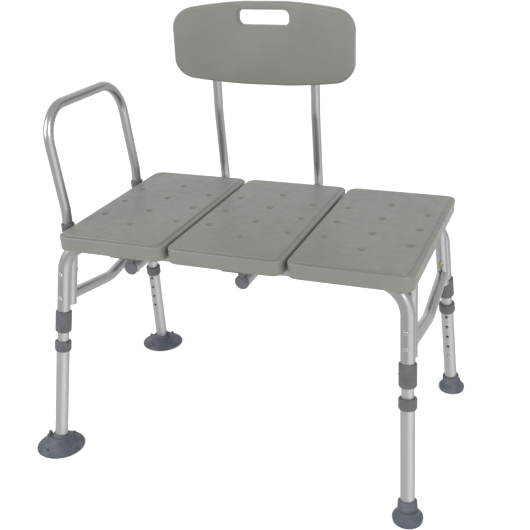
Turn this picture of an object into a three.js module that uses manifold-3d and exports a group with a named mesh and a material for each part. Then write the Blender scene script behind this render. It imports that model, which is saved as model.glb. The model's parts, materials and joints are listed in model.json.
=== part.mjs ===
// Bath transfer bench, made of three moulded seat panels on two inverted-U tube frames.
// One armrest loop stands at the left end, a backrest slides into sleeves under the
// seat, and each leg ends in two telescoping stages with snap buttons.
// Millimetres, +Z up, +X to the sitter's left-to-right as seen from the front (-Y).

import * as THREE from 'three';
import { mergeVertices } from 'three/addons/utils/BufferGeometryUtils.js';
import Module from 'manifold-3d';

const wasm = await Module();
wasm.setup();

// ---------------------------------------------------------------- driving dimensions

const SEAT_HEIGHT = 454;         // floor to the top of the seat, legs at rest
const CLEARANCE = 0.4;           // gap left between neighbouring solids
const OVERCUT = 5;               // a cutter runs this far past the face it cuts

const PANEL_WIDTH = 216;
const PANEL_PITCH = 221.5;
const PANEL_DEPTH = 405;
const PANEL_THICKNESS = 30;
const PANEL_CORNER = 20;
const PLATEAU_INSET = 9;         // width of the flat ledge round the raised seat top
const PLATEAU_RISE = 2.5;
const PANEL_CHAMFER = 3;
const DRAIN_RADIUS = 3.2;
const DRAIN_PITCH_X = 76.5;
const DRAIN_PITCH_Y = 75.9;

const FRAME_RADIUS = 12.7;       // outside radius of the leg and frame tube
const FRAME_BORE = 11.5;
const SLIDE_RADIUS = 11;         // tube that telescopes inside the leg, and the sockets
const SLIDE_BORE = 9.8;
const SOCKET_BORE = 10;
const RAIL_RADIUS = 9.5;         // armrest and backrest tube
const RAIL_BORE = 8.2;
const TUBE_SIDES = 12;

const FOOT_X = [-371, 338];      // where the left and right leg axes meet the floor
const FOOT_Y = 225;              // half the front-to-back distance between the feet
const SPLAY_X = 0.0647;          // outward lean of a leg, per millimetre of height
const SPLAY_Y = 0.1667;
const FRAME_TOP = SEAT_HEIGHT - 34;
const FRAME_BEND = 60;

const EXTENSION_TRAVEL = 101.6;  // four hole pitches
const HOLE_PITCH = 25.4;
const HOLE_COUNT = 5;
const HOLE_RADIUS = 4;
const BUTTON_RADIUS = 3.2;
const FINE_TRAVEL = 12.7;        // half a hole pitch, taken up by the upper stage

const SOCKET_OFFSET = 25.2;      // from a leg's axis to its socket's axis
const ARM_LIFT_HEIGHT = 212;     // armrest top axis above the seat
const ARM_LEAN = 23;             // how far the armrest's top stands outboard of its posts
const BACK_X = -77.5;            // centre of the backrest panel
const BACK_POSTS_X = -84.5;      // midway between the backrest's posts
const BACK_POST_SPREAD = 109.5;  // from there to each post
const BACK_WIDTH = 387;
const BACK_THICKNESS = 22;

const SIDES = [{ name: 'left', sign: -1, footX: FOOT_X[0] }, { name: 'right', sign: 1, footX: FOOT_X[1] }];
const ENDS = [{ name: 'front', sign: -1 }, { name: 'rear', sign: 1 }];

// ---------------------------------------------------------------- materials

const plastic = new THREE.MeshStandardMaterial({ color: 0x8c8a84, roughness: 0.5 });
const aluminium = new THREE.MeshStandardMaterial({ color: 0xc6c8cb, roughness: 0.35, metalness: 0.9 });
const collarPlastic = new THREE.MeshStandardMaterial({ color: 0x64676b, roughness: 0.6 });
const capPlastic = new THREE.MeshStandardMaterial({ color: 0x6a6a71, roughness: 0.55 });
const rubber = new THREE.MeshStandardMaterial({ color: 0x585c64, roughness: 0.75 });
const steel = new THREE.MeshStandardMaterial({ color: 0xb9b6ae, roughness: 0.3, metalness: 1 });

// ---------------------------------------------------------------- solids

// A closed geometry as a manifold-3d solid, whichever way its triangles wind.
function solid(geometry) {
  const bare = geometry.clone();
  for (const name of ['normal', 'uv']) bare.deleteAttribute(name);
  const merged = mergeVertices(bare, 1e-4);
  const points = merged.attributes.position;
  const corner = (i) => new THREE.Vector3().fromBufferAttribute(points, i);
  const faces = [];
  let volume = 0;
  for (let i = 0; i < merged.index.count; i += 3) {
    const [a, b, c] = [0, 1, 2].map((k) => merged.index.getX(i + k));
    if (a === b || b === c || a === c) continue;
    faces.push([a, b, c]);
    volume += corner(a).dot(corner(b).cross(corner(c)));
  }
  const triVerts = new Uint32Array(faces.flatMap(([a, b, c]) => (volume > 0 ? [a, b, c] : [a, c, b])));
  return new wasm.Manifold(new wasm.Mesh({ numProp: 3, vertProperties: points.array, triVerts }));
}

function surface(body) {
  const mesh = body.getMesh();
  const geometry = new THREE.BufferGeometry();
  geometry.setAttribute('position', new THREE.BufferAttribute(mesh.vertProperties, mesh.numProp));
  geometry.setIndex(new THREE.BufferAttribute(mesh.triVerts, 1));
  geometry.computeVertexNormals();
  return geometry;
}

function circlePoints(radius, sides = TUBE_SIDES) {
  return Array.from({ length: sides }, (_, i) => {
    const angle = (2 * Math.PI * i) / sides;
    return new THREE.Vector2(radius * Math.cos(angle), radius * Math.sin(angle));
  });
}

// A centre line of straight runs joined by round bends, with stations only where it turns.
class BentPath extends THREE.Curve {
  constructor(corners, radii = [], stepsPerBend = []) {
    super();
    this.stations = [];
    const last = corners.length - 1;
    corners.forEach((corner, i) => {
      if (i === 0 || i === last) {
        const other = corners[i === 0 ? 1 : last - 1];
        const along = i === 0 ? other.clone().sub(corner) : corner.clone().sub(other);
        this.stations.push({ point: corner.clone(), tangent: along.normalize() });
        return;
      }
      this.addBend(corners[i - 1], corner, corners[i + 1], radii[i - 1], stepsPerBend[i - 1]);
    });
    this.steps = this.stations.length - 1;
  }

  addBend(before, corner, after, radius, steps) {
    const arriving = corner.clone().sub(before).normalize();
    const leaving = after.clone().sub(corner).normalize();
    const turn = arriving.angleTo(leaving);
    const start = corner.clone().addScaledVector(arriving, -radius * Math.tan(turn / 2));
    const sideways = leaving.clone().addScaledVector(arriving, -leaving.dot(arriving)).normalize();
    for (let i = 0; i <= steps; i += 1) {
      const angle = (turn * i) / steps;
      const point = start.clone().addScaledVector(arriving, radius * Math.sin(angle))
        .addScaledVector(sideways, radius * (1 - Math.cos(angle)));
      const tangent = arriving.clone().multiplyScalar(Math.cos(angle))
        .addScaledVector(sideways, Math.sin(angle));
      this.stations.push({ point, tangent });
    }
  }

  station(t) {
    return this.stations[Math.round(t * this.steps)];
  }

  getPoint(t) {
    return this.station(t).point.clone();
  }

  getPointAt(u) {
    return this.getPoint(u);
  }

  getTangentAt(u) {
    return this.station(u).tangent.clone();
  }
}

// A tube along a path, or a round bar where no bore is given.
function tube(path, radius, bore = 0, sides = TUBE_SIDES) {
  const shape = new THREE.Shape(circlePoints(radius, sides));
  if (bore > 0) shape.holes.push(new THREE.Path(circlePoints(bore, sides)));
  return solid(new THREE.ExtrudeGeometry(shape, { steps: path.steps, extrudePath: path }));
}

function rod(from, to, radius, sides = 6) {
  return tube(new BentPath([from, to]), radius, 0, sides);
}

// A turned piece about +Z from (radius, height) pairs; a ring's profile is closed.
function turned(profile, sides = TUBE_SIDES, closed = false) {
  const points = profile.map(([radius, height]) => new THREE.Vector2(radius, height));
  if (closed) points.push(points[0].clone());
  return solid(new THREE.LatheGeometry(points, sides).rotateX(Math.PI / 2));
}

function block(sizeX, sizeY, sizeZ, x, y, z) {
  return solid(new THREE.BoxGeometry(sizeX, sizeY, sizeZ).translate(x, y, z));
}

function roundedRectangle(width, depth, radius) {
  const [x, y] = [width / 2 - radius, depth / 2 - radius];
  const shape = new THREE.Shape();
  shape.absarc(x, y, radius, 0, Math.PI / 2);
  shape.absarc(-x, y, radius, Math.PI / 2, Math.PI);
  shape.absarc(-x, -y, radius, Math.PI, 1.5 * Math.PI);
  shape.absarc(x, -y, radius, 1.5 * Math.PI, 2 * Math.PI);
  return shape;
}

// ---------------------------------------------------------------- assembly helpers

const bench = new THREE.Group();
const vec = (x, y, z) => new THREE.Vector3(x, y, z);

function add(name, body, material, group = bench) {
  const mesh = new THREE.Mesh(surface(body), material);
  mesh.name = name;
  group.add(mesh);
}

// Local axes of a leg: origin on the floor, +Z up the leg, +Y towards the bench's middle.
function legMatrix(side, end) {
  const up = vec(-side.sign * SPLAY_X, -end.sign * SPLAY_Y, 1).normalize();
  const inward = vec(0, -end.sign, 0);
  inward.addScaledVector(up, -inward.dot(up)).normalize();
  const across = new THREE.Vector3().crossVectors(inward, up);
  return new THREE.Matrix4().makeBasis(across, inward, up)
    .setPosition(side.footX, end.sign * FOOT_Y, 0);
}

const LEG_STRETCH = Math.hypot(1, SPLAY_X, SPLAY_Y);
const alongLeg = (height) => height * LEG_STRETCH;

function legPoint(side, end, height, offset = 0) {
  return vec(0, offset, alongLeg(height)).applyMatrix4(legMatrix(side, end));
}

// ---------------------------------------------------------------- frame

const COLLAR_BOTTOM = 243.5;       // upper collar, heights above the floor at rest
const COLLAR_TOP = 285.5;
const BOLT_HEIGHT = 311.5;
const BOLT_RADIUS = 3;
const BOLT_HEAD_RADIUS = 6;
const BOLT_HEAD_DEPTH = 4.5;
const BOLT_TIP = 12;               // past the socket's far wall, into the brace
const BOLT_CUT = [20, 30];         // outboard of the leg's axis, and past the socket's
const HOLE_REACH = 20;             // from a tube's axis, to cut a hole through one wall
const TUBE_INTO_COLLAR = 4;        // a frame tube starts this far above its collar's lower edge

function framePath(end) {
  const corners = [
    legPoint(SIDES[0], end, COLLAR_BOTTOM + TUBE_INTO_COLLAR),
    legPoint(SIDES[0], end, FRAME_TOP),
    legPoint(SIDES[1], end, FRAME_TOP),
    legPoint(SIDES[1], end, COLLAR_BOTTOM + TUBE_INTO_COLLAR),
  ];
  return new BentPath(corners, [FRAME_BEND, FRAME_BEND], [4, 4]);
}

function boltCutter(side, end) {
  const from = legPoint(side, end, BOLT_HEIGHT, -BOLT_CUT[0]);
  const to = legPoint(side, end, BOLT_HEIGHT, SOCKET_OFFSET + BOLT_CUT[1]);
  return rod(from, to, BOLT_RADIUS + 2 * CLEARANCE);
}

const FINE_BUTTON_HEIGHT = 264.5;

// The fine-adjustment button stands on the leg's -X face.
const fineDirection = (end) => end.sign;

// The hole for that button, in the leg's own axes.
function fineHole(end) {
  const level = alongLeg(FINE_BUTTON_HEIGHT);
  return rod(vec(0, 0, level), vec(HOLE_REACH * fineDirection(end), 0, level), HOLE_RADIUS);
}

for (const end of ENDS) {
  let body = tube(framePath(end), FRAME_RADIUS, FRAME_BORE);
  for (const side of SIDES) {
    const hole = fineHole(end).transform(legMatrix(side, end).elements);
    body = body.subtract(boltCutter(side, end)).subtract(hole);
  }
  add(`frame_tube_${end.name}`, body, aluminium);
}

// ---------------------------------------------------------------- seat panels

function seatPanel(x, cutters) {
  const rim = PANEL_CHAMFER;
  const skirtHeight = PANEL_THICKNESS - PLATEAU_RISE;
  const bevel = { bevelSize: rim, bevelThickness: rim, bevelSegments: 1, curveSegments: 2 };
  const skirt = new THREE.ExtrudeGeometry(
    roundedRectangle(PANEL_WIDTH - 2 * rim, PANEL_DEPTH - 2 * rim, PANEL_CORNER - rim),
    { depth: skirtHeight - 2 * rim, ...bevel },
  ).translate(x, 0, SEAT_HEIGHT - PANEL_THICKNESS + rim);
  const inset = 2 * PLATEAU_INSET;
  const root = 2;  // the plateau starts this far inside the skirt
  const plateau = new THREE.ExtrudeGeometry(
    roundedRectangle(PANEL_WIDTH - inset, PANEL_DEPTH - inset, PANEL_CORNER - PLATEAU_INSET + rim),
    { depth: PLATEAU_RISE + root, bevelEnabled: false, curveSegments: 2 },
  ).translate(x, 0, SEAT_HEIGHT - PLATEAU_RISE - root);
  let body = solid(skirt).add(solid(plateau));
  for (const [column, row] of drainPlaces()) {
    const top = vec(x + column * DRAIN_PITCH_X, row * DRAIN_PITCH_Y, SEAT_HEIGHT + OVERCUT);
    const bottom = top.clone().setZ(SEAT_HEIGHT - 2 * PANEL_THICKNESS);
    body = body.subtract(rod(bottom, top, DRAIN_RADIUS));
  }
  for (const cutter of cutters) body = body.subtract(cutter);
  return body;
}

// Three holes in each outer column, and four half a pitch off in the middle one.
function drainPlaces() {
  const outer = [-1, 0, 1].flatMap((row) => [[-1, row], [1, row]]);
  const middle = [-1.5, -0.5, 0.5, 1.5].map((row) => [0, row]);
  return [...outer, ...middle];
}

const frameGrooves = ENDS.map((end) => tube(framePath(end), FRAME_RADIUS + 2 * CLEARANCE));
['left', 'middle', 'right'].forEach((name, i) => {
  add(`seat_panel_${name}`, seatPanel((i - 1) * PANEL_PITCH, frameGrooves), plastic);
});

// ---------------------------------------------------------------- armrest sockets and braces

const SOCKET_BOTTOM = [292, 287];  // left and right
const SOCKET_BEND_HEIGHT = 390;  // above here the left sockets stand upright
const SOCKET_TOP = [448, SEAT_HEIGHT - PANEL_THICKNESS - 3];
const SOCKET_BEND = 70;
const BRACE_BEND = 90;
const BRACE_INSERT = [1, 14];      // a threaded insert's two ends, from the brace's own end

function socketPath(side, end) {
  const bottom = legPoint(side, end, SOCKET_BOTTOM[SIDES.indexOf(side)], SOCKET_OFFSET);
  if (side.name === 'right') {
    return new BentPath([bottom, legPoint(side, end, SOCKET_TOP[1], SOCKET_OFFSET)]);
  }
  const knee = legPoint(side, end, SOCKET_BEND_HEIGHT, SOCKET_OFFSET);
  return new BentPath([bottom, knee, vec(knee.x, knee.y, SOCKET_TOP[0])], [SOCKET_BEND], [2]);
}

for (const side of SIDES) {
  for (const end of ENDS) {
    const body = tube(socketPath(side, end), SLIDE_RADIUS, SOCKET_BORE).subtract(boltCutter(side, end));
    add(`arm_socket_${end.name}_${side.name}`, body, aluminium);
  }
}

// A shallow V from the front bolt to the rear one, with a threaded insert in each end.
function sideBrace(side) {
  const faceOffset = SOCKET_OFFSET + SLIDE_RADIUS + CLEARANCE;
  const [front, rear] = ENDS.map((end) => legPoint(side, end, BOLT_HEIGHT, faceOffset));
  const slope = legPoint(side, ENDS[0], BOLT_HEIGHT, 2 * faceOffset).sub(front);
  const valley = front.clone().addScaledVector(slope, -front.y / slope.y);
  let body = tube(new BentPath([front, valley, rear], [BRACE_BEND], [2]), SLIDE_RADIUS, SLIDE_BORE);
  for (const end of ENDS) {
    const [near, far] = BRACE_INSERT.map((reach) => legPoint(side, end, BOLT_HEIGHT, faceOffset + reach));
    body = body.add(rod(near, far, SLIDE_BORE + 0.5, 8));
  }
  for (const end of ENDS) body = body.subtract(boltCutter(side, end));
  return body;
}

for (const side of SIDES) add(`side_brace_${side.name}`, sideBrace(side), aluminium);

// ---------------------------------------------------------------- legs

const LOWER_COLLAR_BOTTOM = 204;
const LOWER_COLLAR_TOP = 224.5;
const INNER_TOP = 305;
const INNER_BOTTOM = 75;
const TOP_HOLE = alongLeg(197);                  // along the leg, as all below
const HEIGHT_BUTTON = TOP_HOLE - EXTENSION_TRAVEL;
const POCKET_FLOOR = 9;                          // the extension tube stands on this in its foot
const NOTCH_WIDTH = 2 * BUTTON_RADIUS + 2 * CLEARANCE;
const NOTCH_DEPTH = 12;                          // deep enough to pass through one wall
const NOTCH_MIDDLE = 10;                         // where a notch's cutter is centred, from the axis
const BUTTON_ROOT = 8;                           // inner end of a button, from its tube's axis
const BUTTON_REACH = 15.2;                       // outer end of a height or backrest button
const FINE_BUTTON_REACH = 16.7;                  // this one passes through the collar as well
const COLLAR_CHAMFER = 1.5;
const COLLAR_LIP = 3;
const UPPER_COLLAR_RADIUS = 15.6;
const LOWER_COLLAR_RADIUS = 16;

function legStraight(bottom, top, radius, bore) {
  return tube(new BentPath([vec(0, 0, bottom), vec(0, 0, top)]), radius, bore);
}

// A sleeve over a tube's end, with a lip that guides the thinner tube inside it.
function endCollar({ outer, bore, lipBore, bottom, top, lipAtTop }) {
  const [lip, chamfer] = [COLLAR_LIP, COLLAR_CHAMFER];
  const innerWall = lipAtTop
    ? [[bore, bottom], [bore, top - lip], [lipBore, top - lip], [lipBore, top]]
    : [[lipBore, bottom], [lipBore, bottom + lip], [bore, bottom + lip], [bore, top]];
  const outerWall = [
    [outer - chamfer, top], [outer, top - chamfer], [outer, bottom + chamfer], [outer - chamfer, bottom],
  ];
  return turned([...innerWall, ...outerWall], TUBE_SIDES, true);
}

function extensionTube() {
  const top = alongLeg(LOWER_COLLAR_TOP) - COLLAR_LIP - CLEARANCE;
  let body = legStraight(POCKET_FLOOR + CLEARANCE, top, FRAME_RADIUS, FRAME_BORE);
  for (let i = 0; i < HOLE_COUNT; i += 1) {
    const level = TOP_HOLE - i * HOLE_PITCH;
    body = body.subtract(rod(vec(0, OVERCUT, level), vec(0, HOLE_REACH, level), HOLE_RADIUS));
  }
  return body;
}

// The inner tube is slotted where the two buttons reach into it.
function innerTube(end) {
  const [bottom, top] = [alongLeg(INNER_BOTTOM), alongLeg(INNER_TOP)];
  const notchTop = HEIGHT_BUTTON + NOTCH_WIDTH / 2;
  const fineLevel = alongLeg(FINE_BUTTON_HEIGHT);
  const slotLength = FINE_TRAVEL + NOTCH_WIDTH;
  const start = bottom - 2;
  const notchLevel = (notchTop + start) / 2;
  const notch = block(NOTCH_WIDTH, NOTCH_DEPTH, notchTop - start, 0, NOTCH_MIDDLE, notchLevel);
  const slotX = NOTCH_MIDDLE * fineDirection(end);
  const slot = block(NOTCH_DEPTH, NOTCH_WIDTH, slotLength, slotX, 0, fineLevel + FINE_TRAVEL / 2);
  return legStraight(bottom, top, SLIDE_RADIUS, SLIDE_BORE).subtract(notch).subtract(slot);
}

// A snap button along +Y: a shank with a domed head.
function snapButton(level, inner, outer) {
  const dome = 1.4;
  const profile = [[0, inner], [BUTTON_RADIUS, inner], [BUTTON_RADIUS, outer - dome], [0, outer]];
  return turned(profile, 8).transform(new THREE.Matrix4().makeRotationX(-Math.PI / 2).elements)
    .translate([0, 0, level]);
}

function turnedAboutLeg(body, angle) {
  return body.transform(new THREE.Matrix4().makeRotationZ(angle).elements);
}

// A bolt across the leg, its head outboard and its tip in the brace's insert.
function legBolt() {
  const headBack = -FRAME_RADIUS - CLEARANCE;
  const headFront = headBack - BOLT_HEAD_DEPTH;
  const tip = SOCKET_OFFSET + SLIDE_RADIUS + BOLT_TIP;
  const level = alongLeg(BOLT_HEIGHT);
  const shank = rod(vec(0, headBack - 1, level), vec(0, tip, level), BOLT_RADIUS);
  const head = rod(vec(0, headFront, level), vec(0, headBack, level), BOLT_HEAD_RADIUS);
  return head.add(shank);
}

const FOOT_DEPTH = 80;                           // the tube pocket's cutter reaches past every foot

const upright = (side, end) => legMatrix(side, end).setPosition(0, 0, 0);

// Foot pieces stand on the floor, while their necks follow the leg's lean.
function footNeck(side, end, radius, top) {
  const lean = upright(side, end).elements;
  return turned([[0, 6], [radius + 1, 6], [radius, top], [0, top]]).transform(lean);
}

function tubePocket(side, end) {
  const cutter = legStraight(POCKET_FLOOR, FOOT_DEPTH, FRAME_RADIUS + CLEARANCE, 0);
  return cutter.transform(upright(side, end).elements);
}

function suctionFoot(side, end) {
  const cup = turned([[0, 0], [48, 0], [48, 2.5], [38, 11], [26, 17], [21, 20], [0, 20]], 20);
  const tab = block(3.5, 11, 24, 22 * end.sign, 0, 20);
  return cup.add(footNeck(side, end, 18, 30)).add(tab).subtract(tubePocket(side, end));
}

function rubberFoot(side, end) {
  const tip = turned([[0, 0], [27, 0], [27, 8], [25, 12], [20, 19], [18, 24], [0, 24]], 16);
  return tip.add(footNeck(side, end, 17, 38)).subtract(tubePocket(side, end));
}

for (const side of SIDES) {
  for (const end of ENDS) {
    const place = `${end.name}_${side.name}`;
    const leg = new THREE.Group();
    leg.applyMatrix4(legMatrix(side, end));
    bench.add(leg);
    const bores = { bore: FRAME_RADIUS + CLEARANCE, lipBore: SLIDE_RADIUS + CLEARANCE };
    const upperCollar = endCollar({
      outer: UPPER_COLLAR_RADIUS, ...bores,
      bottom: alongLeg(COLLAR_BOTTOM), top: alongLeg(COLLAR_TOP), lipAtTop: false,
    }).subtract(fineHole(end));
    const lowerCollar = endCollar({
      outer: LOWER_COLLAR_RADIUS, ...bores,
      bottom: alongLeg(LOWER_COLLAR_BOTTOM), top: alongLeg(LOWER_COLLAR_TOP), lipAtTop: true,
    });
    const fineButton = turnedAboutLeg(
      snapButton(alongLeg(FINE_BUTTON_HEIGHT), BUTTON_ROOT, FINE_BUTTON_REACH),
      (-fineDirection(end) * Math.PI) / 2,
    );
    const heightButton = snapButton(HEIGHT_BUTTON, BUTTON_ROOT, BUTTON_REACH);
    add(`upper_collar_${place}`, upperCollar, collarPlastic, leg);
    add(`fine_button_${place}`, fineButton, steel, leg);
    add(`leg_bolt_${place}`, legBolt(), steel, leg);
    add(`inner_tube_${place}`, innerTube(end), aluminium, leg);
    add(`lower_collar_${place}`, lowerCollar, collarPlastic, leg);
    add(`extension_tube_${place}`, extensionTube(), aluminium, leg);
    add(`height_button_${place}`, heightButton, steel, leg);

    const foot = new THREE.Group();
    foot.position.set(side.footX, end.sign * FOOT_Y, 0);
    bench.add(foot);
    if (side.name === 'left') add(`suction_foot_${end.name}`, suctionFoot(side, end), rubber, foot);
    else add(`rubber_foot_${end.name}`, rubberFoot(side, end), rubber, foot);
  }
}

// ---------------------------------------------------------------- armrest

const ARM_INSERT_BOTTOM = 392;
const ARM_RISE = 25;             // the posts stand upright to this far above the seat
const ARM_CORNER = 66;
const ARM_SOFT_BEND = 90;
const BUSH_BOTTOM = 436;
const BUSH_RADIUS = 13;

const armFeet = ENDS.map((end) => legPoint(SIDES[0], end, SOCKET_BEND_HEIGHT, SOCKET_OFFSET));
const armRise = SEAT_HEIGHT + ARM_RISE;
const armTop = SEAT_HEIGHT + ARM_LIFT_HEIGHT;
const [armFront, armRear] = armFeet;
const armCorners = [
  vec(armFront.x, armFront.y, ARM_INSERT_BOTTOM), vec(armFront.x, armFront.y, armRise),
  vec(armFront.x - ARM_LEAN, armFront.y, armTop), vec(armRear.x - ARM_LEAN, armRear.y, armTop),
  vec(armRear.x, armRear.y, armRise), vec(armRear.x, armRear.y, ARM_INSERT_BOTTOM),
];
const armBends = [ARM_SOFT_BEND, ARM_CORNER, ARM_CORNER, ARM_SOFT_BEND];
const armPath = new BentPath(armCorners, armBends, [1, 4, 4, 1]);
add('armrest_tube', tube(armPath, RAIL_RADIUS, RAIL_BORE), aluminium);

ENDS.forEach((end, i) => {
  const bush = endCollar({
    outer: BUSH_RADIUS, bore: SLIDE_RADIUS + CLEARANCE, lipBore: RAIL_RADIUS + CLEARANCE,
    bottom: BUSH_BOTTOM, top: SOCKET_TOP[0] + COLLAR_LIP + CLEARANCE, lipAtTop: true,
  });
  add(`arm_bush_${end.name}`, bush.translate([armFeet[i].x, armFeet[i].y, 0]), collarPlastic);
});

// ---------------------------------------------------------------- backrest

const SLEEVE_HEIGHT = FRAME_TOP - 2 * FRAME_RADIUS - 2 * CLEARANCE;
const SLEEVE_FRONT = -173;
const SLEEVE_REAR = 192;
const CAP_REACH = 4.4;           // a cap's face stands this far in front of its sleeve
const POST_FRONT = 100;          // front end of each post inside its sleeve
const POST_KNEE_Y = 273;         // where a post turns up behind the seat
const POST_Y = 250;              // its upright run behind the panel
const POST_ELBOW = 133;          // height above the seat where that run starts
const POST_TOP = 36;             // below the panel's top
const POST_BENDS = [42, 150];
const POST_SLOT_DEPTH = 8;
const BACK_BUTTON_ROOT = 6;
const CAP_RADIUS = 13.2;
const CAP_PLUG = [9.4, 10];      // radius and length of the plug inside the sleeve
const BACK_BUTTON_Y = 176;
const BACK_FRONT_Y = 232;        // the panel's front face at its middle
const BACK_SAG = 20;             // how far its ends stand forward of that
const BACK_BOTTOM = SEAT_HEIGHT + 192.3;
const BACK_TOP = SEAT_HEIGHT + 359.6;
const BACK_BOW = 18;             // fall of the top edge, and rise of the bottom one, at the ends
const BACK_CORNER = 38;

const postXs = SIDES.map((side) => ({ name: side.name, x: BACK_POSTS_X + side.sign * BACK_POST_SPREAD }));

function postPath(x) {
  const corners = [
    vec(x, POST_FRONT, SLEEVE_HEIGHT), vec(x, POST_KNEE_Y, SLEEVE_HEIGHT),
    vec(x, POST_Y, SEAT_HEIGHT + POST_ELBOW), vec(x, POST_Y, BACK_TOP - POST_TOP),
  ];
  return new BentPath(corners, POST_BENDS, [4, 1]);
}

for (const { name, x } of postXs) {
  const slotEnd = BACK_BUTTON_Y + NOTCH_WIDTH / 2;
  const slotLength = slotEnd - POST_FRONT + 2;
  const slotY = slotEnd - slotLength / 2;
  const slot = block(NOTCH_WIDTH, slotLength, POST_SLOT_DEPTH, x, slotY, SLEEVE_HEIGHT - NOTCH_MIDDLE);
  add(`back_post_${name}`, tube(postPath(x), RAIL_RADIUS, RAIL_BORE).subtract(slot), aluminium);

  const buttonPlace = vec(x, BACK_BUTTON_Y, SLEEVE_HEIGHT);
  const hole = rod(buttonPlace, buttonPlace.clone().setZ(SLEEVE_HEIGHT - HOLE_REACH), HOLE_RADIUS);
  const sleevePath = new BentPath([vec(x, SLEEVE_FRONT, SLEEVE_HEIGHT), vec(x, SLEEVE_REAR, SLEEVE_HEIGHT)]);
  add(`back_sleeve_${name}`, tube(sleevePath, FRAME_RADIUS, SOCKET_BORE).subtract(hole), aluminium);

  const down = new THREE.Matrix4().makeRotationX(-Math.PI / 2).elements;
  const button = snapButton(0, BACK_BUTTON_ROOT, BUTTON_REACH).transform(down)
    .translate([x, BACK_BUTTON_Y, SLEEVE_HEIGHT]);
  add(`back_button_${name}`, button, steel);

  const [plug, plugLength] = CAP_PLUG;
  const capProfile = [
    [0, -plugLength], [plug, -plugLength], [plug, CLEARANCE], [CAP_RADIUS, CLEARANCE],
    [CAP_RADIUS, 3], [CAP_RADIUS - 1.2, 4], [0, CAP_REACH],
  ];
  const towardsFront = new THREE.Matrix4().makeRotationX(Math.PI / 2).elements;
  const cap = turned(capProfile).transform(towardsFront).translate([x, SLEEVE_FRONT, SLEEVE_HEIGHT]);
  add(`sleeve_cap_${name}`, cap, capPlastic);
}

const SADDLE_WIDTH = 56;
const SADDLE_PLATE = 2.8;        // its thickness
const SADDLE_WEB = 11;           // width of the web between the plate and the sleeve
const SADDLE_EDGE = 4.5;         // from the plate's outer edge to the seat's

// A block that spaces a sleeve from the seat's underside, beside the frame tube.
function saddleBlock(x, end) {
  const outer = PANEL_DEPTH / 2 - SADDLE_EDGE;
  const inner = FOOT_Y - SPLAY_Y * FRAME_TOP + FRAME_RADIUS + 1;
  const top = SEAT_HEIGHT - PANEL_THICKNESS - CLEARANCE;
  const [length, plateY] = [outer - inner, end.sign * ((outer + inner) / 2)];
  const plate = block(SADDLE_WIDTH, length, SADDLE_PLATE, x, plateY, top - SADDLE_PLATE / 2);

  const webLength = -SLEEVE_FRONT + CAP_REACH - inner;
  const webY = end.sign * (inner + webLength / 2);
  const web = block(SADDLE_WEB, webLength, top - SLEEVE_HEIGHT, x, webY, (top + SLEEVE_HEIGHT) / 2);

  const past = PANEL_DEPTH;
  const bedPath = new BentPath([vec(x, -past, SLEEVE_HEIGHT), vec(x, past, SLEEVE_HEIGHT)]);
  return plate.add(web).subtract(tube(bedPath, FRAME_RADIUS + 2 * CLEARANCE));
}

for (const end of ENDS) {
  for (const { name, x } of postXs) {
    add(`saddle_block_${end.name}_${name}`, saddleBlock(x, end), collarPlastic);
  }
}

const GRIP_WIDTH = 112;
const GRIP_HEIGHT = 31;
const GRIP_CORNER = 12;
const GRIP_LEVEL = 328;          // its middle, above the seat

// The panel is a curved slab cut to a barrel outline, with a grip slot near its top.
function backrestPanel() {
  const half = BACK_WIDTH / 2;
  const radius = (half * half + BACK_SAG * BACK_SAG) / (2 * BACK_SAG);
  const reach = Math.asin((half + 2 * OVERCUT) / radius);
  const spare = 60;                // the uncut slab stands this far below the panel
  const [slabHeight, cutDepth] = [300, 200];
  const slab = new THREE.Shape();
  slab.absarc(0, 0, radius, Math.PI / 2 - reach, Math.PI / 2 + reach, false);
  slab.absarc(0, 0, radius + BACK_THICKNESS, Math.PI / 2 + reach, Math.PI / 2 - reach, true);
  const slabGeometry = new THREE.ExtrudeGeometry(
    slab, { depth: slabHeight, bevelEnabled: false, curveSegments: 7 },
  ).translate(BACK_X, BACK_FRONT_Y - radius, BACK_BOTTOM - spare);

  const cutBack = BACK_FRONT_Y + cutDepth / 2;
  const outline = new THREE.ExtrudeGeometry(
    barrelOutline(half), { depth: cutDepth, bevelEnabled: false, curveSegments: 3 },
  ).rotateX(Math.PI / 2).translate(BACK_X, cutBack, (BACK_TOP + BACK_BOTTOM) / 2);
  const slot = new THREE.ExtrudeGeometry(
    roundedRectangle(GRIP_WIDTH, GRIP_HEIGHT, GRIP_CORNER),
    { depth: cutDepth, bevelEnabled: false, curveSegments: 2 },
  ).rotateX(Math.PI / 2).translate(BACK_X, cutBack, SEAT_HEIGHT + GRIP_LEVEL);
  let body = solid(slabGeometry).intersect(solid(outline)).subtract(solid(slot));
  for (const { x } of postXs) body = body.subtract(tube(postPath(x), RAIL_RADIUS + 2 * CLEARANCE));
  return body;
}

// Bowed top and bottom edges, with a round corner where each meets the upright ends.
function barrelOutline(half) {
  const tall = (BACK_TOP - BACK_BOTTOM) / 2;
  const edge = (x) => tall - BACK_BOW * (x / half) ** 2;
  const cornerX = half - BACK_CORNER;
  const cornerZ = edge(cornerX) - BACK_CORNER;
  const quarter = [];
  for (let i = 0; i <= 4; i += 1) {
    const angle = (Math.PI / 2) * (i / 4);
    quarter.push([cornerX + BACK_CORNER * Math.cos(angle), cornerZ + BACK_CORNER * Math.sin(angle)]);
  }
  for (const x of [0.6, 0.3]) quarter.push([x * half, edge(x * half)]);
  const right = [...quarter, [0, edge(0)]];
  const top = [...right, ...quarter.map(([x, z]) => [-x, z]).reverse()];
  const points = [...top, ...top.map(([x, z]) => [-x, -z])];
  return new THREE.Shape(points.map(([x, z]) => new THREE.Vector2(x, z)));
}

add('backrest_panel', backrestPanel(), plastic);

// ---------------------------------------------------------------- origin

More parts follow.
